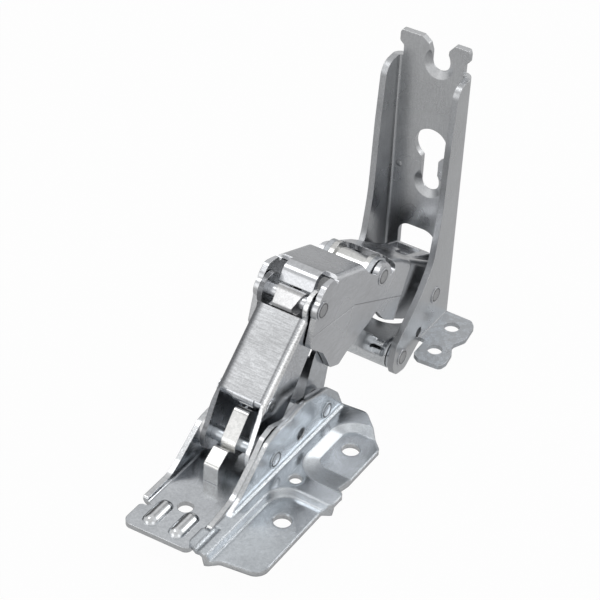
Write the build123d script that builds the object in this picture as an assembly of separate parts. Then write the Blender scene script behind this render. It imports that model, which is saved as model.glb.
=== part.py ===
from build123d import *
import math
import os

# Fridge door hinge, seven pivots, shown fully open.
# Millimetres. X runs along the pins, Y from the tongue of the base towards the
# door bracket, Z up from the mounting face of the base. The origin is the
# centre of the round hole in the base floor, on the mounting face.
# The most skilful feature is the coupler: one sheet folded over a knee and a
# slope, curled at the front, cut open for the lever eyes, lobed below, and
# drawn in to a narrow nose that passes through the bracket's window when shut.

# Pivots in the side view, (Y, Z), in the open pose
ARM_PIVOT = (23.58, 8.66)
LEVER_PIVOT = (50.11, 8.04)
KNEE_PIVOT = (50.23, 42.29)
CENTRE_PIVOT = (83.84, 33.74)
LINK_PIVOT = (66.43, 24.18)
EAR_PIVOT = (94.95, -2.21)
BRACKET_PIVOT = (113.69, 10.15)

# Turns from open to closed in degrees, as seen from the base
ARM_TURN = 97.13
COUPLER_TURN = 32.66
LEVER_TURN = 97.73
BRACKET_TURN = 90.0

# Sheet and washer thicknesses
BASE_T = 1.6
WING_T = 1.5
ARM_T = 1.5
LEVER_T = 1.6
DOUBLER_T = 1.6
COUPLER_T = 1.8
BRACKET_T = 2.0
BASE_WASHER_T = 1.1
EAR_WASHER_T = 1.1

# Pins and fits
PIN_R = 2.1
SMALL_PIN_R = 2.0
RUN = 0.05
OPEN_RUN = 0.42
SLOT_RUN = 0.25
HEAD_T = 0.25
BRACKET_HEAD_T = 0.3
HEAD_R = 2.8
BASE_WASHER_R = 4.2
EAR_WASHER_R = 4.6
REAR_SPACER_R = 3.6
CENTRE_SPACER_R = 3.9
SIDE_GAP = 0.3
SHEET_GAP = 0.75

# Layers across the hinge, measured from the middle plane outwards
ARM_IN = 6.7
ARM_OUT = ARM_IN + ARM_T
LEVER_IN = 6.7
LEVER_OUT = LEVER_IN + LEVER_T
DOUBLER_IN = LEVER_IN - DOUBLER_T
COUPLER_IN = LEVER_OUT + SIDE_GAP
COUPLER_OUT = COUPLER_IN + COUPLER_T
NECK_STEP = 1.2
NECK_OUT = COUPLER_OUT - NECK_STEP
NECK_IN = NECK_OUT - COUPLER_T
BASE_IN = LEVER_OUT + SIDE_GAP + BASE_WASHER_T
BASE_OUT = BASE_IN + BASE_T
WING_IN = BASE_OUT + SHEET_GAP
WING_OUT = WING_IN + WING_T
LINK_NARROW = 6.4
LINK_WIDE = 9.6
BRACKET_IN = LINK_WIDE + SIDE_GAP + EAR_WASHER_T
BRACKET_OUT = BRACKET_IN + BRACKET_T


def unit(angle):
    """Direction in the side view for an angle in degrees."""
    return (math.cos(math.radians(angle)), math.sin(math.radians(angle)))


def turned(point, centre, angle):
    """A side view point turned about a centre."""
    c, s = unit(angle)
    y, z = point[0] - centre[0], point[1] - centre[1]
    return (centre[0] + c * y - s * z, centre[1] + s * y + c * z)


def rounded(points):
    """A closed sketch through (a, b, corner radius) points."""
    count = len(points)
    ends = []
    arcs = []
    for i, (x, y, r) in enumerate(points):
        before = points[i - 1]
        after = points[(i + 1) % count]
        la = math.hypot(before[0] - x, before[1] - y)
        lb = math.hypot(after[0] - x, after[1] - y)
        ua = ((before[0] - x) / la, (before[1] - y) / la)
        ub = ((after[0] - x) / lb, (after[1] - y) / lb)
        dot = max(-1.0, min(1.0, ua[0] * ub[0] + ua[1] * ub[1]))
        half = math.acos(dot) / 2
        if r <= 0 or half > math.radians(89.5):
            ends.append(((x, y), (x, y)))
            continue
        cut = r / math.tan(half)
        first = (x + ua[0] * cut, y + ua[1] * cut)
        last = (x + ub[0] * cut, y + ub[1] * cut)
        mid = (ua[0] + ub[0], ua[1] + ub[1])
        lm = math.hypot(mid[0], mid[1])
        deep = r / math.sin(half) - r
        top = (x + mid[0] / lm * deep, y + mid[1] / lm * deep)
        ends.append((first, last))
        arcs.append(ThreePointArc(first, top, last))
    edges = list(arcs)
    for i in range(count):
        start = ends[i][1]
        stop = ends[(i + 1) % count][0]
        if math.hypot(start[0] - stop[0], start[1] - stop[1]) > 1e-4:
            edges.append(Line(start, stop))
    return make_face(edges)


def disc(centre, radius):
    return Pos(centre[0], centre[1]) * Circle(radius)


def bar(p, rp, q, rq):
    """The outline wrapped round two discs."""
    dist = math.hypot(q[0] - p[0], q[1] - p[1])
    along = math.degrees(math.atan2(q[1] - p[1], q[0] - p[0]))
    open_angle = math.degrees(math.acos((rp - rq) / dist))
    ua = unit(along + open_angle)
    ub = unit(along - open_angle)
    uf = unit(along)
    ub_back = unit(along + 180)
    pa = (p[0] + rp * ua[0], p[1] + rp * ua[1])
    pb = (p[0] + rp * ub[0], p[1] + rp * ub[1])
    qa = (q[0] + rq * ua[0], q[1] + rq * ua[1])
    qb = (q[0] + rq * ub[0], q[1] + rq * ub[1])
    qf = (q[0] + rq * uf[0], q[1] + rq * uf[1])
    pf = (p[0] + rp * ub_back[0], p[1] + rp * ub_back[1])
    edges = [Line(pb, qb), ThreePointArc(qb, qf, qa), Line(qa, pa), ThreePointArc(pa, pf, pb)]
    return make_face(edges)


def strip(points, thick):
    """A bent sheet in the side view, lying to the right of (a, b, radius) points."""
    normals = []
    for p, q in zip(points, points[1:]):
        length = math.hypot(q[0] - p[0], q[1] - p[1])
        normals.append(((q[1] - p[1]) / length, (p[0] - q[0]) / length))
    inner = []
    for i, (x, y, r) in enumerate(points):
        n = normals[max(i - 1, 0)]
        m = normals[min(i, len(normals) - 1)]
        share = thick / (1 + n[0] * m[0] + n[1] * m[1])
        right_turn = m[0] * n[1] - m[1] * n[0] > 0
        inner_r = 0 if r <= 0 else (max(r - thick, 0.2) if right_turn else r + thick)
        inner.append((x + share * (n[0] + m[0]), y + share * (n[1] + m[1]), inner_r))
    return rounded(list(points) + inner[::-1])


def slab(sketch, x_from, x_to):
    """A side view sketch given thickness between two X positions."""
    return extrude(Plane.YZ.offset(x_from) * sketch, amount=x_to - x_from)


def both(sketch, inner, outer):
    """The same plate on the left and on the right."""
    return slab(sketch, inner, outer) + slab(sketch, -outer, -inner)


def across(centre, radius, x_from, x_to):
    return slab(disc(centre, radius), x_from, x_to)


def upright(sketch, z_from, z_to):
    return extrude(Plane.XY.offset(z_from) * sketch, amount=z_to - z_from)


def through_web(sketch, y_from, y_to):
    """A sketch in X and Z cut or built along Y."""
    return extrude(Plane.XZ.offset(-y_to) * sketch, amount=y_to - y_from)


def block(x0, x1, y0, y1, z0, z1):
    middle = ((x0 + x1) / 2, (y0 + y1) / 2, (z0 + z1) / 2)
    return Pos(*middle) * Box(x1 - x0, y1 - y0, z1 - z0)


def edges_near(solid, targets, reach=0.6):
    """Edges whose middle lies close to one of the target points."""
    found = ShapeList()
    for edge in solid.edges():
        m = edge @ 0.5
        for t in targets:
            if (m - Vector(*t)).length < reach:
                found.append(edge)
                break
    return found


def pin(centre, radius, length, head_r=0.0, head_from=0.0, head_to=0.0):
    """A plain pin, with riveted heads outside head_from when given."""
    body = across(centre, radius, -length, length)
    if head_r > 0:
        for side in (-1, 1):
            a, b = sorted((side * head_from, side * head_to))
            body += across(centre, head_r, a, b)
    return body


# BASE, the channel with the tongue
CHANNEL_BACK = 57.5
TONGUE_FRONT = -14.2
TONGUE_SKEW = 1.0
TONGUE_LEFT = 11.0
TONGUE_HALF = 10.2
FLOOR_HOLE_R = 2.25
BEAD_X = 4.28
BEAD_R = 2.6
BEAD_LOW = 0.7
BEAD_SHIFT = -0.4
BEAD_FRONT = -9.2
BEAD_REAR = -3.3


def base_channel():
    outer = block(-BASE_OUT, BASE_OUT, -4.2, CHANNEL_BACK, 0, 26)
    outer = fillet(edges_near(outer, [(s * BASE_OUT, (CHANNEL_BACK - 4.2) / 2, 0) for s in (-1, 1)]), 2.4)
    inner = block(-BASE_IN, BASE_IN, -6, CHANNEL_BACK + 2, BASE_T, 30)
    inner = fillet(edges_near(inner, [(s * BASE_IN, (CHANNEL_BACK - 4) / 2, BASE_T) for s in (-1, 1)]), 0.9)
    shell = outer - inner
    right = rounded([
        (-5, -1, 0), (60, -1, 0), (58.2, 4.5, 2), (53.3, 12.9, 7), (45.5, 15.2, 6), (39.3, 16.6, 4),
        (32.3, 15.3, 5), (25.4, 17.7, 3), (20.8, 16.5, 3), (15.5, 11.3, 8), (7.0, 4.7, 8), (-4.0, 2.7, 1),
        (-4.25, 1.6, 0)])
    left = rounded([
        (-5, -1, 0), (60, -1, 0), (58.2, 4.5, 2), (53.3, 12.9, 7), (45.5, 14.8, 6), (37.6, 15.3, 6),
        (30.5, 13.3, 8), (21.7, 12.5, 8), (11.0, 5.2, 6), (6.8, 2.9, 5), (-4.0, 2.8, 0.9), (-4.25, 1.6, 0)])
    shell = (shell & slab(right, -4, 14)) + (shell & slab(left, -14, -4))
    tongue = rounded([
        (3 - TONGUE_LEFT, -3, 0), (2.2 - TONGUE_LEFT, -5.4, 0.6), (-TONGUE_LEFT, -5.8, 1.2),
        (-TONGUE_LEFT, TONGUE_FRONT, 2.4), (TONGUE_HALF, TONGUE_FRONT + TONGUE_SKEW, 2.0), (TONGUE_HALF, -3, 0)])
    shell += upright(tongue, 0, BASE_T)
    for side in (-1, 1):
        x = side * BEAD_X + BEAD_SHIFT
        shell += bead(x, BEAD_R) & block(x - 4, x + 4, -20, 0, 0, 6)
        shell -= bead(x, BEAD_R - BASE_T) & block(x - 4, x + 4, -20, 0, -1, 6)
    shell -= Cylinder(FLOOR_HOLE_R, 12)
    shell -= pivot_holes(ARM_PIVOT, PIN_R, 14) + pivot_holes(LEVER_PIVOT, PIN_R, 14)
    return shell


def bead(x, radius):
    """A stiffening bead along the tongue, round in section and at both ends."""
    half = (BEAD_REAR - BEAD_FRONT) / 2
    edges = [
        Line((0, -half - radius), (0, half + radius)),
        ThreePointArc((0, half + radius), (radius * 0.70711, half + radius * 0.70711), (radius, half)),
        Line((radius, half), (radius, -half)),
        ThreePointArc((radius, -half), (radius * 0.70711, -half - radius * 0.70711), (0, -half - radius))]
    body = revolve(make_face(edges), Axis.Y, 360)
    return Pos(x, (BEAD_REAR + BEAD_FRONT) / 2, BEAD_LOW) * body


def pivot_holes(centre, radius, half):
    return across(centre, radius, -half, half)


# BASE, the screw wing on the right
WING_TOP = 4.0
LIP_LEFT = 9.2
BEND_R = 1.1
PAD_TOP = BASE_T
WING_HOLE_R = 2.6
WING_HOLES = ((24.6, 10.5), (24.6, 45.9))
SMALL_HOLE = (19.8, 24.4)
SMALL_HOLE_R = 1.9
WING_OPEN_HOLE = (36.6, 8.6)
WING_OPEN_R = 1.9


def pocket(x0, y0, y1, r_foot, r_top, left, front, back, z_low, z_high, base, grow):
    """A recess open to the right: its walls lean out by the given slopes."""
    layers = []
    for z in (z_low, z_high):
        rise = z - base
        r = r_foot + (r_top - r_foot) * max(rise, 0) / (WING_TOP - PAD_TOP)
        xa = x0 - left * rise - grow
        ya = y0 - front * rise - grow
        yb = y1 + back * rise + grow
        layers.append(Plane.XY.offset(z) * rounded([(xa, ya, r), (45, ya, 0), (45, yb, 0), (xa, yb, r)]))
    return loft(layers)


def inner_corner(radius):
    """The little web of a bend radius, in the corner at the sketch's origin."""
    near = radius * (1 - math.cos(math.radians(45)))
    arc = ThreePointArc((radius, 0), (near, near), (0, radius))
    return make_face([Line((0, 0), (radius, 0)), arc, Line((0, radius), (0, 0))])


def base_wing():
    plan = rounded([
        (WING_IN, 59.5, 0), (WING_IN, -12.9, 0), (16.4, -14.4, 2.0), (19.4, -11.6, 2.0), (31.3, -9.8, 4.0),
        (31.3, 19.8, 0.6), (33.8, 21.4, 1.4), (33.8, 26.6, 1.4), (31.3, 28.4, 0.6), (31.3, 50.6, 1.6),
        (21.2, 60.2, 3.2), (14, 59.5, 1)])
    deck = upright(plan, WING_TOP - WING_T, WING_TOP)
    prism = upright(plan, -1, WING_TOP)
    flange = rounded([
        (-3.4, WING_TOP - WING_T, 0), (59.2, WING_TOP - WING_T, 0), (58.6, 5.0, 3), (56.0, 10.6, 6),
        (51.2, 15.4, 6), (43.4, 17.5, 8), (38.3, 18.9, 5), (31, 17.8, 9), (25.3, 18.1, 6), (19.6, 16.8, 6),
        (13.5, 12.2, 14), (6.5, 6.4, 12), (1.0, 3.8, 6)])
    solid = deck + slab(flange, WING_IN, WING_OUT)
    inside_bend = Pos(WING_OUT, WING_TOP) * inner_corner(BEND_R)
    solid += through_web(inside_bend, -3.4, 59.0) & slab(flange, WING_OUT, WING_OUT + BEND_R)
    near = (17.3, -30, 20.2, 6.5, 6.5, 0.3, 0.3, 0.3)
    far = (19.4, 35.2, 53.4, 3.6, 8.6, 1.1, 3.5, 0.8)
    deep = pocket(*near, 0, WING_TOP, 0, 1.3) + pocket(*far, 0, WING_TOP, 0, 1.3)
    solid += deep & prism
    solid -= pocket(*near, PAD_TOP, WING_TOP + 1, PAD_TOP, 0)
    solid -= pocket(*far, PAD_TOP, WING_TOP + 1, PAD_TOP, 0)
    lip = rounded([
        (LIP_LEFT, -5.0, 0.6), (LIP_LEFT, -11.6, 1.2), (12.6, -13.1, 0), (13.6, -13.0, 0), (13.6, -5.0, 0)])
    solid += upright(lip, BASE_T, BASE_T + WING_T)
    groove = rounded([(11.6, WING_TOP + 0.3, 0), (13.0, WING_TOP - 1.2, 0.7), (14.4, WING_TOP + 0.3, 0)])
    solid -= through_web(groove, -20, -3.6)
    for x, y in WING_HOLES:
        solid -= Pos(x, y, 0) * Cylinder(WING_HOLE_R, 12)
    solid -= Pos(SMALL_HOLE[0], SMALL_HOLE[1], 0) * Cylinder(SMALL_HOLE_R, 12)
    solid -= pivot_holes(ARM_PIVOT, PIN_R, 16) + pivot_holes(LEVER_PIVOT, PIN_R, 16)
    solid -= across(WING_OPEN_HOLE, WING_OPEN_R, 11, 15)
    return solid


def base_pin(centre):
    """Riveted outside the channel on the left and outside the wing on the right."""
    body = across(centre, PIN_R, -BASE_OUT, WING_OUT)
    body += across(centre, HEAD_R, -BASE_OUT - HEAD_T, -BASE_OUT)
    return body + across(centre, HEAD_R, WING_OUT, WING_OUT + HEAD_T)


def washers(centre, radius, inner, outer, bore):
    ring = disc(centre, radius) - disc(centre, bore)
    return both(ring, inner, outer)


CAM_HALF = 2.4
CAM_EYE_R = 3.6


def closing_cam():
    """The bright two lobed cam that stands on the floor round the front pin."""
    lobe = rounded([
        (11.7, BASE_T, 0.4), (11.9, 7.6, 1.3), (16.9, 10.8, 0.9), (19.4, 8.6, 0.5), (22.0, 5.0, 0),
        (18.4, BASE_T, 0.6)])
    nose = bar(ARM_PIVOT, CAM_EYE_R, (27.4, 15.6), 1.9)
    shape = lobe + nose - disc(ARM_PIVOT, PIN_R)
    return slab(shape, -CAM_HALF, CAM_HALF)


# ARM, the box with the brushed top
ARM_LENGTH = math.hypot(KNEE_PIVOT[0] - ARM_PIVOT[0], KNEE_PIVOT[1] - ARM_PIVOT[1])
ARM_ANGLE = math.degrees(math.atan2(KNEE_PIVOT[1] - ARM_PIVOT[1], KNEE_PIVOT[0] - ARM_PIVOT[0]))
ARM_EYE_R = 5.4
KNEE_EYE_R = 5.0
PLATE_LOW = (13.2, 7.3)
PLATE_HIGH = (38.6, 2.9)
CROSS_PIN = (13.1, 3.2)
SPRING_UP = -2.3
SEAT_R = PIN_R + 0.6
SEAT_HALF = 4.6
SEAT_TAPER = 1.4


def arm_point(along, up):
    c, s = unit(ARM_ANGLE)
    return (ARM_PIVOT[0] + c * along - s * up, ARM_PIVOT[1] + s * along + c * up)


def arm_outline(points):
    out = []
    for along, up, r in points:
        y, z = arm_point(along, up)
        out.append((y, z, r))
    return rounded(out)


def plate_up(along):
    """Height of the brushed top over the line of the arm pivots."""
    slope = (PLATE_HIGH[1] - PLATE_LOW[1]) / (PLATE_HIGH[0] - PLATE_LOW[0])
    return PLATE_LOW[1] + slope * (along - PLATE_LOW[0])


def arm_shell():
    top = ARM_LENGTH - 1.5
    wall = arm_outline([
        (-0.8, ARM_EYE_R - 0.3, 0), (*PLATE_LOW, 0), (top, plate_up(top), 0), (ARM_LENGTH, 0, 0),
        (ARM_LENGTH, -KNEE_EYE_R, 0), (31, -6.9, 6), (15, -6.9, 8), (0, -ARM_EYE_R, 0)])
    wall += disc(ARM_PIVOT, ARM_EYE_R) + disc(KNEE_PIVOT, KNEE_EYE_R)
    solid = slab(wall, -ARM_OUT, ARM_OUT)
    a = arm_point(*PLATE_LOW)
    b = arm_point(*PLATE_HIGH)
    middle = ((a[0] + b[0]) / 2, (a[1] + b[1]) / 2)
    solid = fillet(edges_near(solid, [(s * ARM_OUT, middle[0], middle[1]) for s in (-1, 1)], 2.4), 2.0)
    plate = arm_outline([
        (PLATE_LOW[0], PLATE_LOW[1] - ARM_T, 0), (PLATE_HIGH[0], PLATE_HIGH[1] - ARM_T, 0), (PLATE_HIGH[0], 20, 0),
        (70, 20, 0), (70, -20, 0), (-20, -20, 0), (-20, 20, 0), (PLATE_LOW[0], 20, 0)])
    solid -= slab(plate, -ARM_IN, ARM_IN)
    solid -= across(ARM_PIVOT, PIN_R + RUN, -10, 10) + across(KNEE_PIVOT, PIN_R + RUN, -10, 10)
    solid -= across(arm_point(*CROSS_PIN), SMALL_PIN_R, -10, 10)
    return solid


def cam_follower():
    """Stepped cross pin whose thick middle rides on the cam."""
    centre = arm_point(*CROSS_PIN)
    thin = pin(centre, SMALL_PIN_R, ARM_OUT, 2.7, ARM_OUT, ARM_OUT + HEAD_T)
    return thin + across(centre, 2.4, -3.4, 3.4)


def cam_slider():
    """Block that pushes the follower down the cam."""
    shape = arm_outline([
        (14.6, -4.4, 1.5), (21.5, -4.4, 0.8), (21.5, 3.9, 0.8), (16.6, 4.8, 1.0), (16.0, 0.2, 1.0)])
    solid = slab(shape, -5.6, 5.6)
    stem = Pos(0, *arm_point(24.0, SPRING_UP)) * Rot(-(90 - ARM_ANGLE), 0, 0) * Cylinder(1.7, 6)
    return solid + stem


def spring_seat():
    """Seat for the spring, hung on the knee pin between the arm ears."""
    y, z = KNEE_PIVOT
    body = arm_outline([
        (33.6, -4.6, 0.8), (39.6, -4.4, 2.5), (ARM_LENGTH, -SEAT_R, 0), (ARM_LENGTH + 0.9, 2.55, 0),
        (39.9, 3.93, 0.4), (39.0, 3.0, 0.3), (38.9, 0.6, 0.3), (33.6, 0.2, 0.8)])
    shape = body + disc(KNEE_PIVOT, SEAT_R) - disc(KNEE_PIVOT, PIN_R + RUN)
    solid = slab(shape, -SEAT_HALF, SEAT_HALF)
    for side in (-1, 1):
        near = side * (SEAT_HALF - SEAT_TAPER)
        far = side * (SEAT_HALF + 1)
        flank = rounded([
            (side * SEAT_HALF, y + 1, 0), (near, y - 4.6, 0), (near, 30, 0), (far, 30, 0), (far, y + 1, 0)])
        solid -= upright(flank, z - 1.6, z + 6)
    return solid


def arm_spring():
    """Closing spring, squeezed between slider and seat."""
    start = 21.8
    stop = 33.3
    wire = 0.75
    radius = 3.3
    turns = 4
    pitch = (stop - start - 2 * wire) / turns
    path = Helix(pitch, pitch * turns, radius)
    profile = Plane(origin=path @ 0, z_dir=path % 0) * Circle(wire)
    coil = sweep(profile, path=path)
    base = arm_point(start + wire, SPRING_UP)
    return Pos(0, *base) * Rot(-(90 - ARM_ANGLE), 0, 0) * coil


# COUPLER, the folded lever
TOP_FRONT = (59.2, 48.4)
TOP_KNEE = (79.0, 41.2)
NOSE_TIP = (120.15, 19.5)
SHOULDER_KNEE_Y = 97.4
NOSE_LEFT = 6.2
NOSE_RIGHT = 6.9
WINDOW_TOP = 24.6
NOSE_ENTRY = WINDOW_TOP - 2.6
COUPLER_FRONT_R = 3.6
COUPLER_EYE_R = 6.4
TONGUE_X = 5.5
LUG_R = 4.5
FOLD_R = 2.3
NOSE_FOLD_R = 1.2
OPENING_FRONT = 73.8
OPENING_REAR = 93.0
NECK_START = 21.0
NECK_RUN = 2.4


def top_z(y):
    """Height of the outer face of the coupler top over a Y position."""
    a, b = (TOP_FRONT, TOP_KNEE) if y < TOP_KNEE[0] else (TOP_KNEE, NOSE_TIP)
    return a[1] + (b[1] - a[1]) / (b[0] - a[0]) * (y - a[0])


def web_limit(y):
    """Highest place that stays clear of the bracket web in the closed pose."""
    c, s = unit(BRACKET_TURN - COUPLER_TURN)
    reach = WEB_FRONT - BRACKET_PIVOT[0] - SIDE_GAP
    return BRACKET_PIVOT[1] + (reach - c * (y - BRACKET_PIVOT[0])) / s


def closed_meets(y, z):
    """Place on the open coupler that meets this place of the bracket when closed."""
    return turned((y, z), BRACKET_PIVOT, BRACKET_TURN - COUPLER_TURN)


def nose_line():
    """Top of the nose, from where it enters the bracket window to its tip."""
    return [closed_meets(WEB_FRONT - SIDE_GAP, NOSE_ENTRY), NOSE_TIP]


def shoulder_line():
    """Top of the coupler beside the nose: it dips so that the web clears it."""
    return [TOP_FRONT, TOP_KNEE, (SHOULDER_KNEE_Y, min(top_z(SHOULDER_KNEE_Y), web_limit(SHOULDER_KNEE_Y))),
            (117.0, web_limit(117.0))]


def lowered(line, drop, rear):
    """Corner points of a top line, lowered square to the sheet by drop."""
    out = []
    count = len(line)
    for i, (y, z) in enumerate(line):
        a = line[max(i - 1, 0)]
        b = line[min(i + 1, count - 1)]
        length = math.hypot(b[0] - a[0], b[1] - a[1])
        out.append((y + (b[1] - a[1]) / length * drop, z - (b[0] - a[0]) / length * drop, 0))
    last = out[-1]
    before = out[-2]
    slope = (last[1] - before[1]) / (last[0] - before[0])
    out[-1] = (last[0] + rear, last[1] + slope * rear, 0)
    return out


def coupler_outline():
    y, z = BRACKET_PIVOT
    top = [(a, b, 0) for a, b in shoulder_line()]
    body = rounded([
        (56.6, 48.9, 0.8), (52.2, 49.2, 2.4), (49.2, 46.8, 3.0), (46.8, 40.9, 6.0), (44.3, 32.6, 2.0),
        (51.6, 26.4, 3), (53.7, 22.8, 2), (56.0, 18.3, 1.6), (60.8, 16.3, 1.6), (65.0, 18.2, 2),
        (77.6, 21.4, 4), (81.2, 22.8, 1.0), (86.4, 16.4, 6), (101.0, 7.0, 8), (y, z - COUPLER_EYE_R, 0),
        (y, z, 0), (y + COUPLER_EYE_R, z, 0), (y + 5.4, z + 4.6, 1.6)]
        + top[::-1] + [(58.6, 47.2, 0.6), (57.4, 46.9, 0.5)])
    return body + disc(KNEE_PIVOT, COUPLER_FRONT_R) + disc(BRACKET_PIVOT, COUPLER_EYE_R)


def neck_plan(half, neck_half, shift, r_first, r_second):
    """Outline seen square to the rear top: full width, then drawn in to the neck."""
    first = -NECK_START - shift
    second = first + NECK_RUN
    return rounded([
        (half, -130, 0), (half, first, r_first), (neck_half, second, r_second), (neck_half, 40, 0),
        (-neck_half, 40, 0), (-neck_half, second, r_second), (-half, first, r_first), (-half, -130, 0)])


def neck_block(plan):
    slope = math.atan2(TOP_KNEE[1] - NOSE_TIP[1], NOSE_TIP[0] - TOP_KNEE[0])
    upward = (0, math.sin(slope), math.cos(slope))
    plane = Plane(origin=(0, *NOSE_TIP), x_dir=(1, 0, 0), z_dir=upward)
    return extrude(plane * plan, amount=80, both=True)


def coupler_nose():
    """The raised middle of the rear top that enters the bracket window."""
    (ya, za), (y, z) = nose_line()
    side = rounded([
        (ya - 3, web_limit(ya - 3) - 0.2, 0), (ya, za, 0), (y, z, 0), (y - 1.9, z - 4.6, 1.0),
        (ya - 3, web_limit(ya - 3) - 2.2, 0)])
    solid = slab(side, -NOSE_LEFT, NOSE_RIGHT)
    middle = ((ya + y) / 2, (za + z) / 2)
    folds = edges_near(solid, [(x, middle[0], middle[1]) for x in (-NOSE_LEFT, NOSE_RIGHT)], 2.0)
    return fillet(folds, NOSE_FOLD_R)


def nose_hollow():
    y, z = NOSE_TIP
    under = lowered(nose_line(), COUPLER_T, -COUPLER_T)
    side = rounded([under[0], under[1], (y - 4.0, z - 9.0, 0), (under[0][0], z - 3.0, 0)])
    return slab(side, COUPLER_T - NOSE_LEFT, NOSE_RIGHT - COUPLER_T)


def nose_window():
    """Cut-out in the top near the nose: a slot across with a round lobe in front."""
    slot = rounded([(-4.4, 112.4, 1.0), (-4.4, 118.6, 0.5), (4.2, 118.6, 0.5), (4.2, 112.4, 0.5)])
    return upright(slot + bar((2.2, 109.4), 2.0, (2.2, 113), 2.0), 17, 40)


def lever_opening():
    """Gap across the top for the lever eyes, leaving a round lug at each wall."""
    y, z = CENTRE_PIVOT
    f = OPENING_FRONT
    side = rounded([
        (f, 60, 0), (f, top_z(f) - 1.0, 0), (f + 1.0, top_z(f) - 2.6, 0.8), (y - 2.3, z + 1.3, 0),
        (y + 4.2, z - 1.8, 0), (y + 7.4, z - 1.8, 1.4), (y + 7.4, 60, 0)])
    cut = slab(side - disc(CENTRE_PIVOT, LUG_R), -COUPLER_OUT - 1, COUPLER_OUT + 1)
    top = rounded([
        (-COUPLER_IN, f, 0), (COUPLER_IN, f, 0),
        (COUPLER_IN, OPENING_REAR, 4.8), (-COUPLER_IN, OPENING_REAR, 4.8)])
    cut += upright(top, top_z(OPENING_REAR) - 5, 60)
    swing = disc(CENTRE_PIVOT, LEVER_EYE_R + SIDE_GAP) & Pos(y, z + 19) * Rectangle(40, 40)
    return cut + slab(swing, -COUPLER_IN, COUPLER_IN)


def fold_edges(solid, line):
    """Outer edges of the folded top, along the full width and the neck."""
    found = ShapeList()
    for edge in solid.edges():
        m = edge @ 0.5
        if abs(m.X) < NECK_OUT - 0.1 or abs((edge % 0.5).Y) < 0.3:
            continue
        for a, b in zip(line, line[1:]):
            z = a[1] + (b[1] - a[1]) / (b[0] - a[0]) * (m.Y - a[0])
            if a[0] <= m.Y <= b[0] and abs(m.Z - z) < 0.05:
                found.append(edge)
                break
    return found


def coupler_shell():
    line = shoulder_line()
    solid = slab(coupler_outline(), -COUPLER_OUT, COUPLER_OUT)
    solid &= neck_block(neck_plan(COUPLER_OUT, NECK_OUT, 0, 3.0, 1.5))
    solid = fillet(fold_edges(solid, line), FOLD_R)
    solid += coupler_nose()
    hollow = rounded([(20, 0, 0), (140, 0, 0)] + rear_ceiling(line)
                     + [(TOP_FRONT[0] - 0.1, 60, 0), (20, 60, 0)])
    inside = slab(hollow, -COUPLER_IN, COUPLER_IN)
    inside &= neck_block(neck_plan(COUPLER_IN, NECK_IN, 0.4, 1.2, 3.0))
    solid -= inside
    solid -= nose_hollow()
    solid += coupler_tongue()
    solid -= lever_opening()
    solid -= nose_window()
    for centre, fit in ((KNEE_PIVOT, 0.0), (CENTRE_PIVOT, 0.0), (BRACKET_PIVOT, RUN)):
        solid -= across(centre, PIN_R + fit, -14, 14)
    return solid


def rear_ceiling(line):
    """Under side of the top from the rear to the front, past the open rear end."""
    under = lowered(line, COUPLER_T, 12)
    return [(140, under[-1][1], 0)] + under[::-1]


def coupler_tongue():
    """The curled front end of the top sheet."""
    u = unit(math.degrees(math.atan2(TOP_KNEE[1] - TOP_FRONT[1], TOP_KNEE[0] - TOP_FRONT[0])))
    back = (TOP_FRONT[0] + 0.5 * u[0], TOP_FRONT[1] + 0.5 * u[1])
    shape = strip([(52.3, 44.7, 0), (55.1, 49.9, 4.0), (back[0], back[1], 0)], COUPLER_T)
    return slab(shape, -TONGUE_X, TONGUE_X)


# LEVER, two side plates joined by a web at the bottom
LEVER_BEND = (54.6, 21.6)
LEVER_FOOT_R = 6.2
LEVER_EYE_R = 5.1


def lever_slot():
    """Path of the base pin in the lever foot, from the constant turn ratios."""
    steps = 8
    spots = []
    for i in range(steps + 1):
        part = i / steps
        knee = turned(KNEE_PIVOT, ARM_PIVOT, ARM_TURN * part)
        arm = (CENTRE_PIVOT[0] - KNEE_PIVOT[0], CENTRE_PIVOT[1] - KNEE_PIVOT[1])
        swung = turned(arm, (0, 0), COUPLER_TURN * part)
        centre = (knee[0] + swung[0], knee[1] + swung[1])
        back = turned((LEVER_PIVOT[0] - centre[0], LEVER_PIVOT[1] - centre[1]), (0, 0), -LEVER_TURN * part)
        spots.append((CENTRE_PIVOT[0] + back[0], CENTRE_PIVOT[1] + back[1]))
    radius = PIN_R + SLOT_RUN
    shape = disc(spots[0], radius)
    for a, b in zip(spots, spots[1:]):
        shape += bar(a, radius, b, radius)
    return shape


def lever_plates():
    side = bar(LEVER_PIVOT, LEVER_FOOT_R, LEVER_BEND, 5.0)
    side += bar(LEVER_BEND, 5.0, CENTRE_PIVOT, LEVER_EYE_R)
    side += bar(LEVER_BEND, 5.0, LINK_PIVOT, 5.2)
    side += bar(LINK_PIVOT, 5.2, CENTRE_PIVOT, LEVER_EYE_R)
    solid = both(side, LEVER_IN, LEVER_OUT)
    skin = bar(LEVER_PIVOT, LEVER_FOOT_R, LEVER_BEND, 5.0) - bar(LEVER_PIVOT, 4.7, LEVER_BEND, 3.5)
    left = rounded([
        (LEVER_PIVOT[0] - 1, LEVER_PIVOT[1] + 1.5, 0), (LEVER_BEND[0] - 1, LEVER_BEND[1] + 0.6, 0),
        (LEVER_BEND[0] - 9, LEVER_BEND[1] + 4.6, 0), (LEVER_PIVOT[0] - 9, LEVER_PIVOT[1] + 5.5, 0)])
    solid += slab(skin & left, -LEVER_OUT, LEVER_OUT)
    solid -= slab(lever_slot(), -10, 10)
    solid -= across(CENTRE_PIVOT, PIN_R + RUN, -10, 10)
    solid -= across(LINK_PIVOT, SMALL_PIN_R, -10, 10)
    return solid


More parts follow.
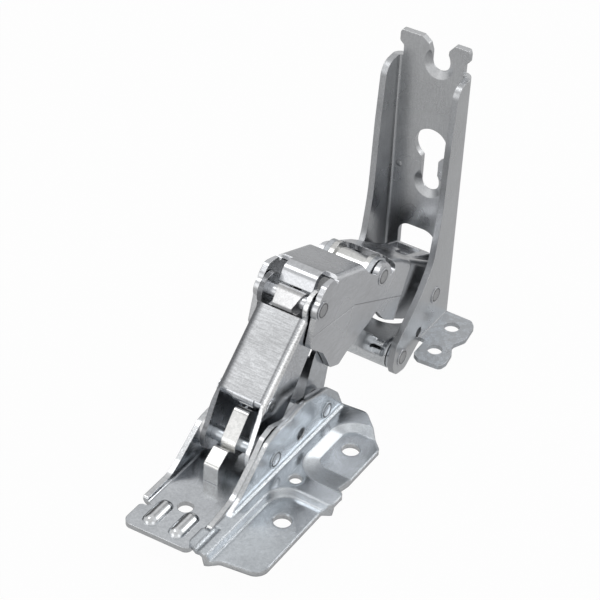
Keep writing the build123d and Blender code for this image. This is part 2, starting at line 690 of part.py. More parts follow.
def lever_doublers():
    side = bar(CENTRE_PIVOT, LEVER_EYE_R, (76.4, 30.3), 4.0) - disc(CENTRE_PIVOT, PIN_R + RUN)
    return both(side, DOUBLER_IN, LEVER_IN)


def tube(centre, outer, inner, half):
    return slab(disc(centre, outer) - disc(centre, inner), -half, half)


# LINK, one plate with rolled eyes and a stop flange
LINK_EYE_R = 4.4
LINK_KNUCKLE_R = 4.8
LINK_T = 2.6
LINK_TAIL_T = 1.8
LINK_TAIL_HALF = LINK_WIDE - 0.4
LINK_SLIT_FROM = -1.0


def link_plate():
    y, z = EAR_PIVOT
    strap = bar(LINK_PIVOT, LINK_T, EAR_PIVOT, LINK_T)
    solid = slab(strap + disc(LINK_PIVOT, LINK_EYE_R), -LINK_NARROW, LINK_NARROW)
    solid += slab(disc(EAR_PIVOT, LINK_KNUCKLE_R), -LINK_WIDE, LINK_WIDE)
    roll = strip([(y - 8.0, z + 4.2, 0), (y - 5.4, z + 7.4, 2.6), (y + 11.0, z + 3.2, 0)], LINK_TAIL_T)
    root = rounded([
        (y - 8.0, z + 4.2, 0), (y - 5.6, z + 6.6, 0), (y + 1.0, z + 4.6, 0), (y, z, 0), (y - 6.6, z + 2.6, 0)])
    tail = slab(roll + root, -LINK_TAIL_HALF, LINK_TAIL_HALF)
    tail -= upright(disc((0, y + 13.2), 6.6), z - 5, z + 12)
    solid += tail
    slit = rounded([
        (y - 9.0, z + 6.6, 0), (y - 4.4, z + 4.0, 0.3), (y - 3.9, z + 4.9, 0.3), (y - 8.5, z + 7.5, 0)])
    solid -= slab(slit, LINK_SLIT_FROM, LINK_TAIL_HALF + 1)
    solid -= across(LINK_PIVOT, SMALL_PIN_R + OPEN_RUN, -12, 12)
    solid -= across(EAR_PIVOT, PIN_R + RUN, -12, 12)
    return solid


# BRACKET for the door
WEB_FRONT = 123.22
WEB_BACK = WEB_FRONT + BRACKET_T
SHOULDER = 82.3
HEAD_RISE = 8.1
HEAD_TOP = SHOULDER + HEAD_RISE
SCREW_X = 2.0
UPPER_SCREW_Z = HEAD_TOP - 7.3
SCREW_PITCH = 41.5
LOWER_SCREW_Z = UPPER_SCREW_Z - SCREW_PITCH
SCREW_SLOT_R = 2.9
SINK_R = 4.9
KEY_R = 5.55
KEY_RISE = 13.6
EAR_R = 5.2
WINDOW_LOW = 7.2
WINDOW_LEFT = NOSE_LEFT + 0.5
WINDOW_RIGHT = NOSE_RIGHT + 0.5
WEB_CUT = (120, 130)
SPARE_HOLE = (104.6, 1.2)
SPARE_HOLE_R = 1.7
FOOT_TOP = -1.6
FOOT_T = 1.5
FOOT_HOLES = ((19.7, 103.4), (18.5, 116.2))
FOOT_HOLE_R = 2.4


def flange_outline(low):
    return rounded([
        (WEB_BACK, 0.4, 1.2), (WEB_BACK, HEAD_TOP, 0), (WEB_FRONT, HEAD_TOP, 0), (WEB_FRONT, SHOULDER, 0),
        (116.2, SHOULDER - 0.7, 4.6), (114.4, 62.4, 60), (113.2, 38.0, 60), (110.4, 23.6, 14),
        (104.5, 15.4, 20), (96.4, 8.6, 16), (91.0, 4.6, 4.0), (89.5, -2.6, 4), (91.2, -7.0, 3.4),
        (97.2, -8.1, 3.4), (102.6, -4.6, 3), (105.0, low, 1), (122.6, low, 1.2)])


def bracket():
    outer = block(-BRACKET_OUT, BRACKET_OUT, 84, WEB_BACK, -12, HEAD_TOP)
    outer = fillet(edges_near(outer, [(s * BRACKET_OUT, WEB_BACK, (HEAD_TOP - 12) / 2) for s in (-1, 1)]), 3.0)
    inner = block(-BRACKET_IN, BRACKET_IN, 80, WEB_FRONT, -20, HEAD_TOP + 5)
    inner = fillet(edges_near(inner, [(s * BRACKET_IN, WEB_FRONT, (HEAD_TOP - 15) / 2) for s in (-1, 1)]), 1.0)
    shell = outer - inner
    ear = disc(EAR_PIVOT, EAR_R)
    left = shell & slab(flange_outline(FOOT_TOP) + ear, -14, 0)
    right = shell & slab(flange_outline(FOOT_TOP - FOOT_T) + ear, 0, 14)
    solid = left + right
    foot = rounded([
        (BRACKET_IN, 106.2, 0), (15.0, 105.8, 0.8), (15.2, 98.0, 1.6), (17.5, 96.5, 1.4), (25.1, 97.0, 1.8),
        (25.7, 100.0, 2), (24.9, 104.8, 2), (22.9, 108.2, 3), (25.1, 113.2, 3), (24.1, 120.4, 2.0),
        (22.1, 122.5, 1.6), (BRACKET_IN, 122.6, 0)])
    solid += upright(foot, FOOT_TOP - FOOT_T, FOOT_TOP)
    for x, y in FOOT_HOLES:
        solid -= Pos(x, y, FOOT_TOP) * Cylinder(FOOT_HOLE_R, 10)
    solid -= head_cuts()
    solid -= screw_openings()
    window = rounded([
        (-WINDOW_LEFT, WINDOW_LOW, 1.5), (WINDOW_RIGHT, WINDOW_LOW, 1.5), (WINDOW_RIGHT, WINDOW_TOP - 4.2, 3),
        (WINDOW_RIGHT - 3.0, WINDOW_TOP, 5), (-WINDOW_LEFT, WINDOW_TOP, 3.6)])
    solid -= through_web(window, *WEB_CUT)
    solid -= across(BRACKET_PIVOT, PIN_R, -14, 14) + across(EAR_PIVOT, PIN_R, -14, 14)
    solid -= across(SPARE_HOLE, SPARE_HOLE_R, 9, 20)
    return solid


def head_cuts():
    """Everything outside the narrow head above the flanges."""
    left = rounded([
        (-20, SHOULDER, 0), (-9.9, SHOULDER, 0), (-9.9, SHOULDER + 3.3, 1.0), (-11.3, SHOULDER + 4.5, 1.0),
        (-11.3, HEAD_TOP - 0.8, 1.6), (-10.0, HEAD_TOP + 1.1, 0), (-20, HEAD_TOP + 1.1, 0)])
    right = rounded([
        (20, SHOULDER, 0), (10.2, SHOULDER, 0), (10.2, SHOULDER + 3.3, 1.0), (11.8, SHOULDER + 4.7, 1.0),
        (11.8, HEAD_TOP - 1.0, 1.6), (10.6, HEAD_TOP + 1.1, 0), (20, HEAD_TOP + 1.1, 0)])
    return through_web(left + right, 110, 130)


def screw_openings():
    """The open screw slot at the top and the keyhole below it."""
    half = SCREW_SLOT_R
    x, z = SCREW_X, UPPER_SCREW_Z
    top = rounded([
        (x - half, z, 0), (x + half, z, 0), (x + half, z + 3.5, 0.8), (x + 3.0, z + 5.3, 0.8),
        (x + 5.2, z + 7.9, 0), (x - 6.9, z + 7.9, 0), (x - 3.8, z + 5.6, 0.8), (x - half, z + 3.1, 0.8)])
    cut = through_web(top + disc((x, z), half), *WEB_CUT)
    key = (x - 0.1, LOWER_SCREW_Z + KEY_RISE)
    slot = bar((x, LOWER_SCREW_Z), half, (x, key[1] - 3.0), half + 0.01)
    cut += through_web(slot + disc(key, KEY_R), *WEB_CUT)
    for sink in (UPPER_SCREW_Z, LOWER_SCREW_Z):
        cut += Pos(x, WEB_FRONT + 0.8, sink) * Rot(-90, 0, 0) * Cone(SINK_R, half, 1.6)
    return cut


def bracket_side_pin(centre):
    return pin(centre, PIN_R, BRACKET_OUT, HEAD_R, BRACKET_OUT, BRACKET_OUT + BRACKET_HEAD_T)


def coupler_pin(centre):
    return pin(centre, PIN_R, COUPLER_OUT, HEAD_R, COUPLER_OUT, COUPLER_OUT + HEAD_T)


PARTS = {
    "base_channel": base_channel,
    "base_wing": base_wing,
    "front_base_pin": lambda: base_pin(ARM_PIVOT),
    "rear_base_pin": lambda: base_pin(LEVER_PIVOT),
    "front_base_washers": lambda: washers(ARM_PIVOT, BASE_WASHER_R, ARM_OUT + SIDE_GAP, BASE_IN, PIN_R),
    "rear_base_washers": lambda: washers(LEVER_PIVOT, BASE_WASHER_R, LEVER_OUT + SIDE_GAP, BASE_IN, PIN_R),
    "closing_cam": closing_cam,
    "arm_shell": arm_shell,
    "cam_follower": cam_follower,
    "cam_slider": cam_slider,
    "spring_seat": spring_seat,
    "arm_spring": arm_spring,
    "coupler_shell": coupler_shell,
    "knee_pin": lambda: coupler_pin(KNEE_PIVOT),
    "centre_pin": lambda: coupler_pin(CENTRE_PIVOT),
    "rear_spacer": lambda: tube(BRACKET_PIVOT, REAR_SPACER_R, PIN_R + RUN, NECK_IN),
    "lever_plates": lever_plates,
    "lever_doublers": lever_doublers,
    "centre_spacer": lambda: tube(CENTRE_PIVOT, CENTRE_SPACER_R, PIN_R + RUN, DOUBLER_IN),
    "link_pin": lambda: pin(LINK_PIVOT, SMALL_PIN_R, LEVER_OUT),
    "link_plate": link_plate,
    "bracket": bracket,
    "bracket_pin": lambda: bracket_side_pin(BRACKET_PIVOT),
    "ear_pin": lambda: bracket_side_pin(EAR_PIVOT),
    "ear_washers": lambda: washers(EAR_PIVOT, EAR_WASHER_R, LINK_WIDE + SIDE_GAP, BRACKET_IN, PIN_R),
}


os.makedirs("parts", exist_ok=True)
for name, make in PARTS.items():
    export_step(make(), "parts/" + name + ".step")
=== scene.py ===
import math
import bpy
from mathutils import Matrix, Vector


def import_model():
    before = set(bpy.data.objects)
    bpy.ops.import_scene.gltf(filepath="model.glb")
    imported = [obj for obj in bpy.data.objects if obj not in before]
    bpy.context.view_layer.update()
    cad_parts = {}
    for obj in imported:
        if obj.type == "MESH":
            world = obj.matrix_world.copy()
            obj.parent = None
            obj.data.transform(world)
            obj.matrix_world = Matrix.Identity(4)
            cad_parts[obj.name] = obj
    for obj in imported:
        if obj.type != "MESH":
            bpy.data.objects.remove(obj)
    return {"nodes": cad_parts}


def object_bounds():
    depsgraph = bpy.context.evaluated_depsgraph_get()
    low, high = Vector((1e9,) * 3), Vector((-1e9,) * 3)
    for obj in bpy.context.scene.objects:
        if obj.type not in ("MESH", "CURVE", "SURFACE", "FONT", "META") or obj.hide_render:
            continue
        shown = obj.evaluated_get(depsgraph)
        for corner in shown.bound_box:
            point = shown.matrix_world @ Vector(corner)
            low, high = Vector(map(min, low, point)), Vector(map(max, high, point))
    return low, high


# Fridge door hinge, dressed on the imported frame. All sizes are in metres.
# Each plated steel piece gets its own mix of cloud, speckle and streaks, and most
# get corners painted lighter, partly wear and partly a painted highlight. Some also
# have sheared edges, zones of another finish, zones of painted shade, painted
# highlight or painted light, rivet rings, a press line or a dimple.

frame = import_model()
CAD_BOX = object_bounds()
NODES = frame["nodes"]

MM = 0.001

# The floor lies a little below the lowest point of the hinge
FLOOR_Z = CAD_BOX[0][2] - 0.5 * MM
FLOOR_HALF = 4.0
FLOOR_TINT = (0.9, 0.9, 0.9, 1.0)
WHITE = (1.0, 1.0, 1.0, 1.0)

# Camera, fitted to the photograph
CAMERA_PLACE = Vector((0.220107, -0.308807, 0.358875))
ELEVATION = math.radians(37.006)
AZIMUTH = math.radians(31.176)
ROLL = math.radians(2.695)
LENS_MM = 114.0
SENSOR_MM = 36.0

# Lamps: place, disk size, watts
LAMP_TARGET = Vector((0, 0.05, 0.03))
KEY_LAMP = ((-0.46, -0.20, 1.02), 0.40, 1.15)
RIM_LAMP = ((0.66, 0.74, 0.60), 0.36, 1.2)

# The world's light on the pieces, and how much of the floor is plain white
SOFT_LEVEL = 0.45
FLOOR_SHARE = 0.97

# How bright the walls and the floor look in the metal itself
MIRRORED_WALLS = 0.86
MIRRORED_FLOOR = 0.58

# Darker and lighter parts of the walls that only polished metal shows:
# direction, inner and outer width as cosines, and the share of the light there
PATCHES = (
    ((0.02, 0.72, 0.69), 0.985, 0.95, 0.55),    # high behind
    ((-0.85, 0.45, 0.27), 0.95, 0.86, 0.15),    # left
    ((0.76, -0.49, 0.43), 0.985, 0.94, 1.60),   # right front
    ((-0.41, 0.91, 0.03), 0.985, 0.93, 0.55),   # low behind
    ((0.95, 0.25, 0.15), 0.98, 0.90, 0.55),     # right
    ((-0.42, -0.86, 0.28), 0.985, 0.93, 1.90),  # left front
)

# Colours of plated steel in linear light
DECK = (0.53, 0.55, 0.575)
WING = (0.51, 0.54, 0.57)
# Lighter colour painted on the wing's slopes: painted light
SLOPE_PAINTED_LIGHT = (0.60, 0.63, 0.66)
SATIN = (0.57, 0.58, 0.592)
# Dull sheared edges of the bracket, and the painted shade on its lower web and left flange
DULL_EDGE_AND_SHADE = (0.42, 0.43, 0.445)
FOLDED = (0.58, 0.59, 0.61)
BRUSHED = (0.60, 0.61, 0.625)
ARM_SIDE = (0.58, 0.595, 0.62)
SHEARED = (0.60, 0.605, 0.61)
# Pale corners, partly wear and partly painted highlight, and the painted highlight on the arm's right fold
WORN_AND_GLINT = (0.88, 0.885, 0.89)
BRIGHT = (0.67, 0.67, 0.66)
BEAD = (0.66, 0.68, 0.70)
BLOOM = (0.70, 0.755, 0.81)
PIN = (0.54, 0.54, 0.545)
RIVET = (0.45, 0.455, 0.465)
# Dark steel, and the painted shade along the arm's left fold
DARK_AND_PAINTED_SHADE = (0.19, 0.195, 0.205)
# Painted shade in the grooves of rings, lines and the dimple
GROOVE_SHADE = (0.03, 0.03, 0.032)

# Noise scales, per metre, and the range that most noise values keep to
CLOUD_SCALE = 70.0
WAVE_SCALE = 190.0
RUB_SCALE = 420.0
BLOTCH_SCALE = 520.0
STREAK_SCALE = 900.0
SPECKLE_SCALE = 2300.0
TEAR_SCALE = 2600.0
NOISE_LOW = 0.3
NOISE_HIGH = 0.7
BUMP_DEPTH = 0.03 * MM

# Where the zones on the sheets begin or end, as X, Y or Z in the frame, and how
# softly they do
CHANNEL_RIM_Z = 2.3 * MM
TONGUE_TOP_Z = 1.7 * MM
BEADS_Y = -2.2 * MM
BEADS_Z = 1.68 * MM
WING_RIM_Z = 4.4 * MM
WING_PLATE_X = 15.0 * MM
WING_SLOPES_X = 14.5 * MM
COUPLER_WALL_X = 8.4 * MM
ARM_WALL_X = 6.6 * MM
ARM_TOP_X = 6.7 * MM
ARM_LEFT_FOLD_X = -6.0 * MM
ARM_CREASE_X = 6.3 * MM
ARM_RIGHT_FOLD_X = 7.0 * MM
FLANGE_X = 10.8 * MM
FLANGE_BACK_Y = 122.6 * MM
FLANGE_SHADE_Z = 40.0 * MM
WEB_SHADE_Z = 28.0 * MM
FOOT_EDGE_X = 13.3 * MM
FOOT_PLATE_X = 13.4 * MM
FOOT_TOP_Z = -1.2 * MM
ZONE_BLUR = 0.15 * MM

# Rivet faces and rings, the press line on the coupler (Y, Z) and the dimple
# in the bracket's web (X, Z)
RIVET_RADIUS = 2.0 * MM
RING_RADIUS = 2.05 * MM
RING_WIDTH = 0.34 * MM
RING_REACH = 0.9 * MM
FOLLOWER_RING = 1.2 * MM
PRESS_LINE = ((0.0455, 0.0358), (0.0681, 0.0331), (0.0984, 0.0182))
PRESS_LINE_WIDTH = 0.22 * MM
DIMPLE = (-0.0084, 0.0451)
DIMPLE_RADIUS = 1.0 * MM


def add_object(name, data):
    obj = bpy.data.objects.new(name, data)
    bpy.context.scene.collection.objects.link(obj)
    return obj


def camera():
    back = Vector((
        math.sin(AZIMUTH) * math.cos(ELEVATION),
        -math.cos(AZIMUTH) * math.cos(ELEVATION),
        math.sin(ELEVATION)))
    level = Vector((math.cos(AZIMUTH), math.sin(AZIMUTH), 0.0))
    upright = back.cross(level)
    right = math.cos(ROLL) * level + math.sin(ROLL) * upright
    up = -math.sin(ROLL) * level + math.cos(ROLL) * upright
    data = bpy.data.cameras.new("camera")
    data.sensor_width = SENSOR_MM
    data.lens = LENS_MM
    data.clip_start = 0.01
    data.clip_end = 20.0
    obj = add_object("camera", data)
    turn = Matrix((right, up, back)).transposed().to_4x4()
    obj.matrix_world = Matrix.Translation(CAMERA_PLACE) @ turn
    bpy.context.scene.camera = obj


def lamp(name, place, size, watts):
    data = bpy.data.lights.new(name, "AREA")
    data.shape = "DISK"
    data.size = size
    data.energy = watts
    obj = add_object(name, data)
    aim = LAMP_TARGET - Vector(place)
    obj.rotation_euler = aim.to_track_quat("-Z", "Y").to_euler()
    obj.location = place


class Net:
    """Short names for making shader nodes and their links."""

    def __init__(self, owner):
        owner.use_nodes = True
        self.tree = owner.node_tree
        self.nodes = self.tree.nodes
        self.nodes.clear()
        self.axes = None

    def put(self, socket, value):
        if isinstance(value, bpy.types.NodeSocket):
            self.tree.links.new(value, socket)
        else:
            socket.default_value = value

    def add(self, kind, **inputs):
        node = self.nodes.new(kind)
        for key, value in inputs.items():
            self.put(node.inputs[key.replace("_", " ")], value)
        return node

    def combine(self, kind, operation, values):
        """A math or vector math node with its first inputs filled."""
        node = self.nodes.new(kind)
        node.operation = operation
        for socket, value in zip(node.inputs, values):
            self.put(socket, value)
        return node

    def math(self, operation, *values):
        return self.combine("ShaderNodeMath", operation, values).outputs[0]

    def chain(self, operation, first, rest):
        for other in rest:
            first = self.math(operation, first, other)
        return first

    def times(self, first, *rest):
        return self.chain("MULTIPLY", first, rest)

    def plus(self, first, *rest):
        return self.chain("ADD", first, rest)

    def minus(self, first, *rest):
        return self.chain("SUBTRACT", first, rest)

    def most(self, first, *rest):
        return self.chain("MAXIMUM", first, rest)

    def size(self, value):
        return self.math("ABSOLUTE", value)

    def root_of_squares(self, a, b):
        return self.math("SQRT", self.plus(self.times(a, a), self.times(b, b)))

    def dot(self, a, b):
        return self.combine("ShaderNodeVectorMath", "DOT_PRODUCT", (a, b)).outputs["Value"]

    def scaled(self, vector, factor):
        node = self.combine("ShaderNodeVectorMath", "SCALE", (vector,))
        self.put(node.inputs["Scale"], factor)
        return node.outputs[0]

    def step(self, value, low, high, start=0.0, end=1.0):
        """Smooth change from start to end while the value goes from low to high."""
        node = self.nodes.new("ShaderNodeMapRange")
        node.interpolation_type = "SMOOTHSTEP"
        self.put(node.inputs["Value"], value)
        for key, number in (("From Min", low), ("From Max", high), ("To Min", start), ("To Max", end)):
            node.inputs[key].default_value = number
        return node.outputs["Result"]

    def spread(self, noise, start, end):
        return self.step(noise, NOISE_LOW, NOISE_HIGH, start, end)

    def split(self, vector):
        return self.add("ShaderNodeSeparateXYZ", Vector=vector).outputs

    def coordinates(self):
        """Place and own normal, both fixed to the piece."""
        if self.axes is None:
            source = self.nodes.new("ShaderNodeTexCoord")
            self.axes = (source.outputs["Object"], source.outputs["Normal"])
        return self.axes

    def noise(self, scale, detail=2.0, stretch=None):
        vector = self.coordinates()[0]
        if stretch is not None:
            vector = self.add("ShaderNodeMapping", Vector=vector, Scale=stretch).outputs[0]
        node = self.add("ShaderNodeTexNoise", Vector=vector, Scale=scale, Detail=detail)
        return node.outputs["Fac"]

    def blend(self, factor, a, b):
        node = self.nodes.new("ShaderNodeMix")
        node.data_type = "RGBA"
        colours = [s for s in node.inputs if s.type == "RGBA"]
        for socket, value in zip(colours, (a, b)):
            self.put(socket, value if isinstance(value, bpy.types.NodeSocket) else (*value, 1.0))
        self.put(node.inputs["Factor"], factor)
        return [s for s in node.outputs if s.type == "RGBA"][0]

    def distance(self, a, b, place):
        """Distance in one plane, given two coordinate sockets and a fixed place."""
        return self.root_of_squares(self.minus(a, place[0]), self.minus(b, place[1]))

    def off_line(self, a, b, start, end):
        """Distance from a short straight line in one plane."""
        length = math.dist(start, end)
        u = ((end[0] - start[0]) / length, (end[1] - start[1]) / length)
        da = self.minus(a, start[0])
        db = self.minus(b, start[1])
        along = self.plus(self.times(da, u[0]), self.times(db, u[1]))
        side = self.minus(self.times(db, u[0]), self.times(da, u[1]))
        past = self.most(self.minus(along, length), self.times(along, -1.0), 0.0)
        return self.root_of_squares(side, past)


def seen_by_camera(net):
    return net.nodes.new("ShaderNodeLightPath").outputs["Is Camera Ray"]


def lit_or_seen(net, lighting, seen, share=1.0):
    """One shader lights the pieces, the other is what the camera and metal see."""
    rays = net.nodes.new("ShaderNodeLightPath").outputs
    direct = net.most(rays["Is Camera Ray"], rays["Is Glossy Ray"], rays["Is Transmission Ray"])
    mix = net.nodes.new("ShaderNodeMixShader")
    for socket, value in zip(mix.inputs, (net.times(direct, share), lighting.outputs[0], seen.outputs[0])):
        net.put(socket, value)
    return mix.outputs[0]


def studio_level(net):
    """White where the camera looks, softly patched where only metal sees it."""
    heading = net.nodes.new("ShaderNodeTexCoord").outputs["Generated"]
    level = MIRRORED_WALLS
    for direction, inner, outer, share in PATCHES:
        nearness = net.dot(heading, Vector(direction).normalized())
        level = net.times(level, net.step(nearness, outer, inner, 1.0, share))
    return net.most(level, seen_by_camera(net))


def world():
    studio = bpy.data.worlds.new("studio")
    bpy.context.scene.world = studio
    net = Net(studio)
    soft = net.add("ShaderNodeBackground", Color=WHITE, Strength=SOFT_LEVEL)
    seen = net.add("ShaderNodeBackground", Color=WHITE, Strength=studio_level(net))
    net.add("ShaderNodeOutputWorld", Surface=lit_or_seen(net, soft, seen))


def floor():
    mesh = bpy.data.meshes.new("floor")
    corners = [(x * FLOOR_HALF, y * FLOOR_HALF, FLOOR_Z) for x, y in ((-1, -1), (1, -1), (1, 1), (-1, 1))]
    mesh.from_pydata(corners, [], [(0, 1, 2, 3)])
    obj = add_object("floor", mesh)
    mat = bpy.data.materials.new("floor")
    net = Net(mat)
    matt = net.add("ShaderNodeBsdfDiffuse", Color=FLOOR_TINT)
    level = net.most(seen_by_camera(net), MIRRORED_FLOOR)
    glow = net.add("ShaderNodeEmission", Color=WHITE, Strength=level)
    net.add("ShaderNodeOutputMaterial", Surface=lit_or_seen(net, matt, glow, FLOOR_SHARE))
    mesh.materials.append(mat)


def worn_and_glinting_corners(net, rounded, corner_wear_and_glint):
    """Mask of the corners, painted lighter as wear and as a painted highlight, where the rounded normal
    leaves the face's own.
    """
    face = net.nodes.new("ShaderNodeNewGeometry")
    bend = net.dot(rounded, face.outputs["Normal"])
    patchy = net.step(net.noise(RUB_SCALE), 0.35, 0.6, 0.35, 1.0)
    return net.times(net.step(bend, 0.78, 0.97, corner_wear_and_glint, 0.0), patchy)


def plated(name, colour, rough=0.32, cloud=0.08, speckle=0.08, streak=0.05, along=(1, 1, 1), bump=0.15,
           wave=0.3, corner_wear_and_glint=0.45, bevel=0.28 * MM, edges=None, sheared=SHEARED, zones=(), marks=None):
    """Plated steel. edges masks the faces with the sheared colour, zones are (mask,
    colour, roughness) and marks gives (groove mask, height) for rings and lines; the
    grooves get painted shade. Corners are painted lighter, partly wear and partly a
    painted highlight."""
    mat = bpy.data.materials.new(name)
    net = Net(mat)
    place, normal = net.coordinates()
    p = net.split(place)
    n = net.split(normal)

    broad = net.noise(CLOUD_SCALE, 3.0)
    fine = net.noise(SPECKLE_SCALE)
    lines = net.noise(STREAK_SCALE, stretch=along)
    tone = net.times(
        net.spread(broad, 1.0 - cloud, 1.0 + cloud),
        net.spread(fine, 1.0 - speckle, 1.0 + speckle),
        net.spread(lines, 1.0 - streak, 1.0 + streak))
    paint = colour
    shine = net.spread(broad, rough - 0.05, rough + 0.06)
    for mask, tint, roughness in zones:
        cover = mask(net, p, n)
        paint = net.blend(cover, paint, tint)
        shine = net.plus(shine, net.times(cover, roughness - rough))
    height = net.plus(net.times(fine, bump), net.times(net.noise(WAVE_SCALE, 1.0), wave))
    if edges is not None:
        cut = edges(net, p, n)
        torn = net.noise(TEAR_SCALE)
        paint = net.blend(net.times(cut, net.spread(torn, 0.35, 0.9)), paint, sheared)
        height = net.plus(height, net.times(cut, torn, 0.7))
        shine = net.plus(shine, net.times(cut, 0.06))
    paint = net.scaled(paint, tone)
    if marks is not None:
        groove, lift = marks(net, p, n)
        # Grooves are painted near black, as painted shade
        paint = net.blend(groove, paint, GROOVE_SHADE)
        height = net.plus(height, lift)

    corner = net.add("ShaderNodeBevel", Radius=bevel)
    corner.samples = 4
    rounded = corner.outputs["Normal"]
    # Corners are painted lighter: partly wear, partly a painted highlight along the edges
    paint = net.blend(worn_and_glinting_corners(net, rounded, corner_wear_and_glint), paint, WORN_AND_GLINT)
    skin = net.add("ShaderNodeBump", Height=height, Normal=rounded, Strength=1.0, Distance=BUMP_DEPTH)
    metal = net.add(
        "ShaderNodeBsdfPrincipled", Base_Color=paint, Roughness=shine, Metallic=1.0,
        Normal=skin.outputs["Normal"])
    net.add("ShaderNodeOutputMaterial", Surface=metal.outputs[0])
    return mat


def pivot(name):
    """Middle of a round piece in the side view (Y, Z)."""
    corners = NODES[name].bound_box
    return tuple((min(c[i] for c in corners) + max(c[i] for c in corners)) / 2 for i in (1, 2))


def flat(net, part, limit):
    """1 where a part of the normal is small."""
    return net.step(net.size(part), limit, limit + 0.15, 1.0, 0.0)


def facing(net, part):
    """1 where a part of the normal is near one."""
    return net.step(part, 0.8, 0.95)


def above(net, value, level, blur=ZONE_BLUR):
    return net.step(value, level - blur, level + blur)


def below(net, value, level, blur=ZONE_BLUR):
    return net.step(value, level - blur, level + blur, 1.0, 0.0)


def channel_edges(net, p, n):
    rims = net.times(flat(net, n[0], 0.4), above(net, p[2], CHANNEL_RIM_Z))
    front = net.times(flat(net, n[2], 0.2), below(net, p[2], TONGUE_TOP_Z))
    return net.most(rims, front)


def beads(net, p, n):
    """The two pressed beads at the front of the deck."""
    return net.times(below(net, p[1], BEADS_Y), above(net, p[2], BEADS_Z, 0.05 * MM))


def wing_edges(net, p, n):
    rim = net.times(flat(net, n[0], 0.4), above(net, p[2], WING_RIM_Z))
    sides = net.times(flat(net, n[2], 0.2), above(net, p[0], WING_PLATE_X))
    return net.most(rim, sides)


def wing_slopes_painted_light(net, p, n):
    """The pressed slopes between the pads, duller than the flat parts and painted lighter to even out their
    shading.
    """
    tilted = net.times(above(net, n[2], 0.35, 0.1), below(net, n[2], 0.97, 0.02))
    return net.times(tilted, above(net, p[0], WING_SLOPES_X, 0.5 * MM))


def arm_facing(net, n):
    """How far a face points the way the arm's top does, across its two pins."""
    lower, upper = Vector(pivot("front_base_pin")), Vector(pivot("knee_pin"))
    run = (upper - lower).normalized()
    return net.minus(net.times(n[2], run[0]), net.times(n[1], run[1]))


def arm_edges(net, p, n):
    turned = net.times(flat(net, n[0], 0.4), below(net, arm_facing(net, n), 0.5, 0.1))
    return net.times(turned, above(net, net.size(p[0]), ARM_WALL_X))


def arm_top(net, p, n):
    middle = below(net, net.size(p[0]), ARM_TOP_X, 0.5 * MM)
    return net.times(above(net, arm_facing(net, n), 0.85, 0.08), middle)


def arm_left_fold_shade(net, p, n):
    """Painted shade, a dark band along the left fold of the arm."""
    return net.times(below(net, p[0], ARM_LEFT_FOLD_X, 0.9 * MM), above(net, arm_facing(net, n), 0.1, 0.2))


def arm_crease(net, p, n):
    """The thin dark line beside the right fold of the arm."""
    line = net.step(net.size(net.minus(p[0], ARM_CREASE_X)), 0.1 * MM, 0.5 * MM, 0.7, 0.0)
    return net.times(line, above(net, arm_facing(net, n), 0.7, 0.1))


def arm_right_fold_highlight(net, p, n):
    """Painted highlight, a bright line along the right fold of the arm."""
    return net.times(above(net, p[0], ARM_RIGHT_FOLD_X, 0.2 * MM), above(net, arm_facing(net, n), 0.15, 0.15))


def coupler_edges(net, p, n):
    turned = net.times(flat(net, n[0], 0.4), below(net, n[2], 0.5, 0.1))
    return net.times(turned, above(net, net.size(p[0]), COUPLER_WALL_X))


def coupler_marks(net, p, n):
    """The faint press line across the right wall."""
    parts = [net.off_line(p[1], p[2], *ends) for ends in zip(PRESS_LINE, PRESS_LINE[1:])]
    line = net.step(net.math("MINIMUM", *parts), 0.0, PRESS_LINE_WIDTH, 1.0, 0.0)
    wall = facing(net, n[0])
    return net.times(line, wall, 0.28), net.times(line, wall, -5.0)


def bracket_edges(net, p, n):
    flanges = net.times(
        flat(net, n[0], 0.4), below(net, p[1], FLANGE_BACK_Y), above(net, net.size(p[0]), FLANGE_X))
    foot = net.times(flat(net, n[2], 0.2), above(net, p[0], FOOT_EDGE_X))
    return net.most(flanges, foot)


def bracket_painted_shade(net, p, n):
    """Painted shade on the lower part of the web, and on the inside of the left flange."""
    web = net.times(facing(net, net.size(n[1])), below(net, p[2], WEB_SHADE_Z, 12.0 * MM))
    inside = net.times(facing(net, n[0]), below(net, p[0], 0.0))
    return net.most(web, net.times(inside, below(net, p[2], FLANGE_SHADE_Z, 20.0 * MM)))


def bracket_foot(net, p, n):
    return net.times(above(net, p[0], FOOT_PLATE_X), below(net, p[2], FOOT_TOP_Z))


def foot_bloom(net, p, n):
    """Pale zinc blotches on the foot."""
    return net.times(bracket_foot(net, p, n), net.step(net.noise(BLOTCH_SCALE, 3.0), 0.44, 0.56))


def ring(net, distance, radius, width):
    """Narrow groove round a centre."""
    return net.step(net.size(net.minus(distance, radius)), 0.0, width, 1.0, 0.0)


def bracket_marks(net, p, n):
    """A small round dimple beside the keyhole."""
    web = facing(net, net.size(n[1]))
    away = net.distance(p[0], p[2], DIMPLE)
    rim = ring(net, away, DIMPLE_RADIUS, 0.3 * MM)
    dome = net.step(away, 0.3 * MM, 1.2 * MM, 1.0, 0.0)
    return net.times(rim, web, 0.35), net.times(dome, web, 5.0)


def pin_ends(net, n):
    return net.step(net.size(n[0]), 0.5, 0.8)


def rivet_faces(pins):
    """The duller round faces inside the rings of the riveted pins."""
    def mask(net, p, n):
        near = 0.0
        for pin in pins:
            away = net.distance(p[1], p[2], pivot(pin))
            near = net.most(net.step(away, 0.9 * RIVET_RADIUS, RIVET_RADIUS, 1.0, 0.0), near)
        return net.times(near, pin_ends(net, n))
    return mask


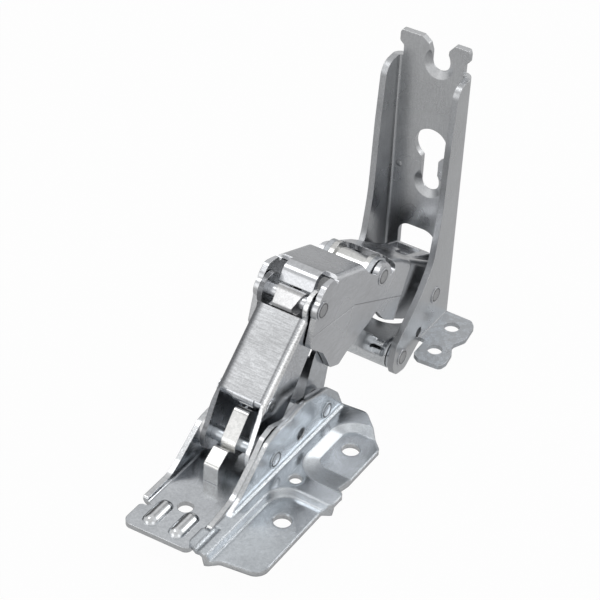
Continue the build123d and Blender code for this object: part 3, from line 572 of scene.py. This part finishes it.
def rivet_marks(pins, radius=RING_RADIUS, raised=3.0):
    """Rings and shallow dishes in the ends of the riveted pins."""
    def marks(net, p, n):
        groove = 0.0
        lift = 0.0
        ends = pin_ends(net, n)
        for pin in pins:
            away = net.distance(p[1], p[2], pivot(pin))
            cut = ring(net, away, radius, RING_WIDTH)
            dish = net.step(away, 0.0, 0.83 * radius)
            near = below(net, away, radius + RING_REACH, 0.05 * MM)
            shape = net.minus(net.times(dish, raised), net.times(cut, 2.0 * raised))
            groove = net.most(groove, net.times(cut, ends, 0.85))
            lift = net.plus(lift, net.times(near, ends, shape))
        return groove, lift
    return marks


def dress(mat, *names):
    for name in names:
        obj = NODES[name]
        if not obj.material_slots:
            obj.data.materials.append(mat)
        for each in obj.material_slots:
            each.link = "OBJECT"
            each.material = mat


def dress_sheets():
    dress(plated(
        "zinc_deck", DECK, rough=0.18, speckle=0.05, edges=channel_edges, zones=[(beads, BEAD, 0.10)]),
        "base_channel")
    dress(plated(
        "zinc_wing", WING, rough=0.17, cloud=0.12, speckle=0.06, bevel=1.0 * MM, corner_wear_and_glint=0.0,
        edges=wing_edges, zones=[(wing_slopes_painted_light, SLOPE_PAINTED_LIGHT, 0.34)]),
        "base_wing")
    dress(plated(
        "brushed_arm", ARM_SIDE, rough=0.20, speckle=0.10, streak=0.13, along=(0.35, 3, 3), bump=0.5,
        edges=arm_edges, zones=[
            (arm_top, BRUSHED, 0.38), (arm_left_fold_shade, DARK_AND_PAINTED_SHADE, 0.30), (arm_crease, DARK_AND_PAINTED_SHADE, 0.30),
            (arm_right_fold_highlight, WORN_AND_GLINT, 0.25)]),
        "arm_shell")
    dress(plated(
        "folded_sheet", FOLDED, rough=0.23, cloud=0.08, speckle=0.05, along=(1, 0.4, 4),
        edges=coupler_edges, marks=coupler_marks),
        "coupler_shell")
    dress(plated(
        "satin_bracket", SATIN, rough=0.30, cloud=0.06, speckle=0.05, along=(6, 6, 0.4), wave=0.15,
        edges=bracket_edges, sheared=DULL_EDGE_AND_SHADE, marks=bracket_marks, zones=[
            (bracket_painted_shade, DULL_EDGE_AND_SHADE, 0.30), (bracket_foot, WING, 0.26), (foot_bloom, BLOOM, 0.36)]),
        "bracket")


def dress_small_pieces():
    low = ("front_base_pin", "rear_base_pin")
    high = ("knee_pin", "centre_pin", "ear_pin", "bracket_pin")
    dress(plated(
        "pin_steel", WING, rough=0.24, speckle=0.06, bump=0.3, corner_wear_and_glint=0.15,
        zones=[(rivet_faces(low), DECK, 0.26)], marks=rivet_marks(low)),
        *low)
    dress(plated(
        "upper_pin_steel", FOLDED, rough=0.26, speckle=0.08, bump=0.3, corner_wear_and_glint=0.15,
        zones=[(rivet_faces(high), RIVET, 0.34)], marks=rivet_marks(high)),
        *high)
    dress(plated(
        "follower_steel", ARM_SIDE, rough=0.20, corner_wear_and_glint=0.0, bevel=0.1 * MM,
        marks=rivet_marks(["cam_follower"], FOLLOWER_RING, 1.5)),
        "cam_follower")
    dress(plated("bright_steel", BRIGHT, rough=0.20, speckle=0.03, streak=0.05, bump=0.05),
          "closing_cam", "centre_spacer", "lever_doublers")
    # The link plate is painted lighter than the deck, as a painted highlight
    dress(plated("link_steel_painted_highlight", BEAD, rough=0.22, cloud=0.1), "link_plate")
    dress(plated("lever_steel", DECK, rough=0.24, cloud=0.1), "ear_washers", "lever_plates")
    dress(plated("dark_steel", DARK_AND_PAINTED_SHADE, rough=0.42, speckle=0.12, corner_wear_and_glint=0.3), "cam_slider", "arm_spring")
    dress(plated("washer_steel", PIN, rough=0.36, speckle=0.10, corner_wear_and_glint=0.3),
          "front_base_washers", "rear_base_washers", "rear_spacer", "link_pin", "spring_seat")


camera()
world()
floor()
lamp("key", *KEY_LAMP)
lamp("rim", *RIM_LAMP)
dress_sheets()
dress_small_pieces()
bpy.context.scene.view_settings.view_transform = "Standard"
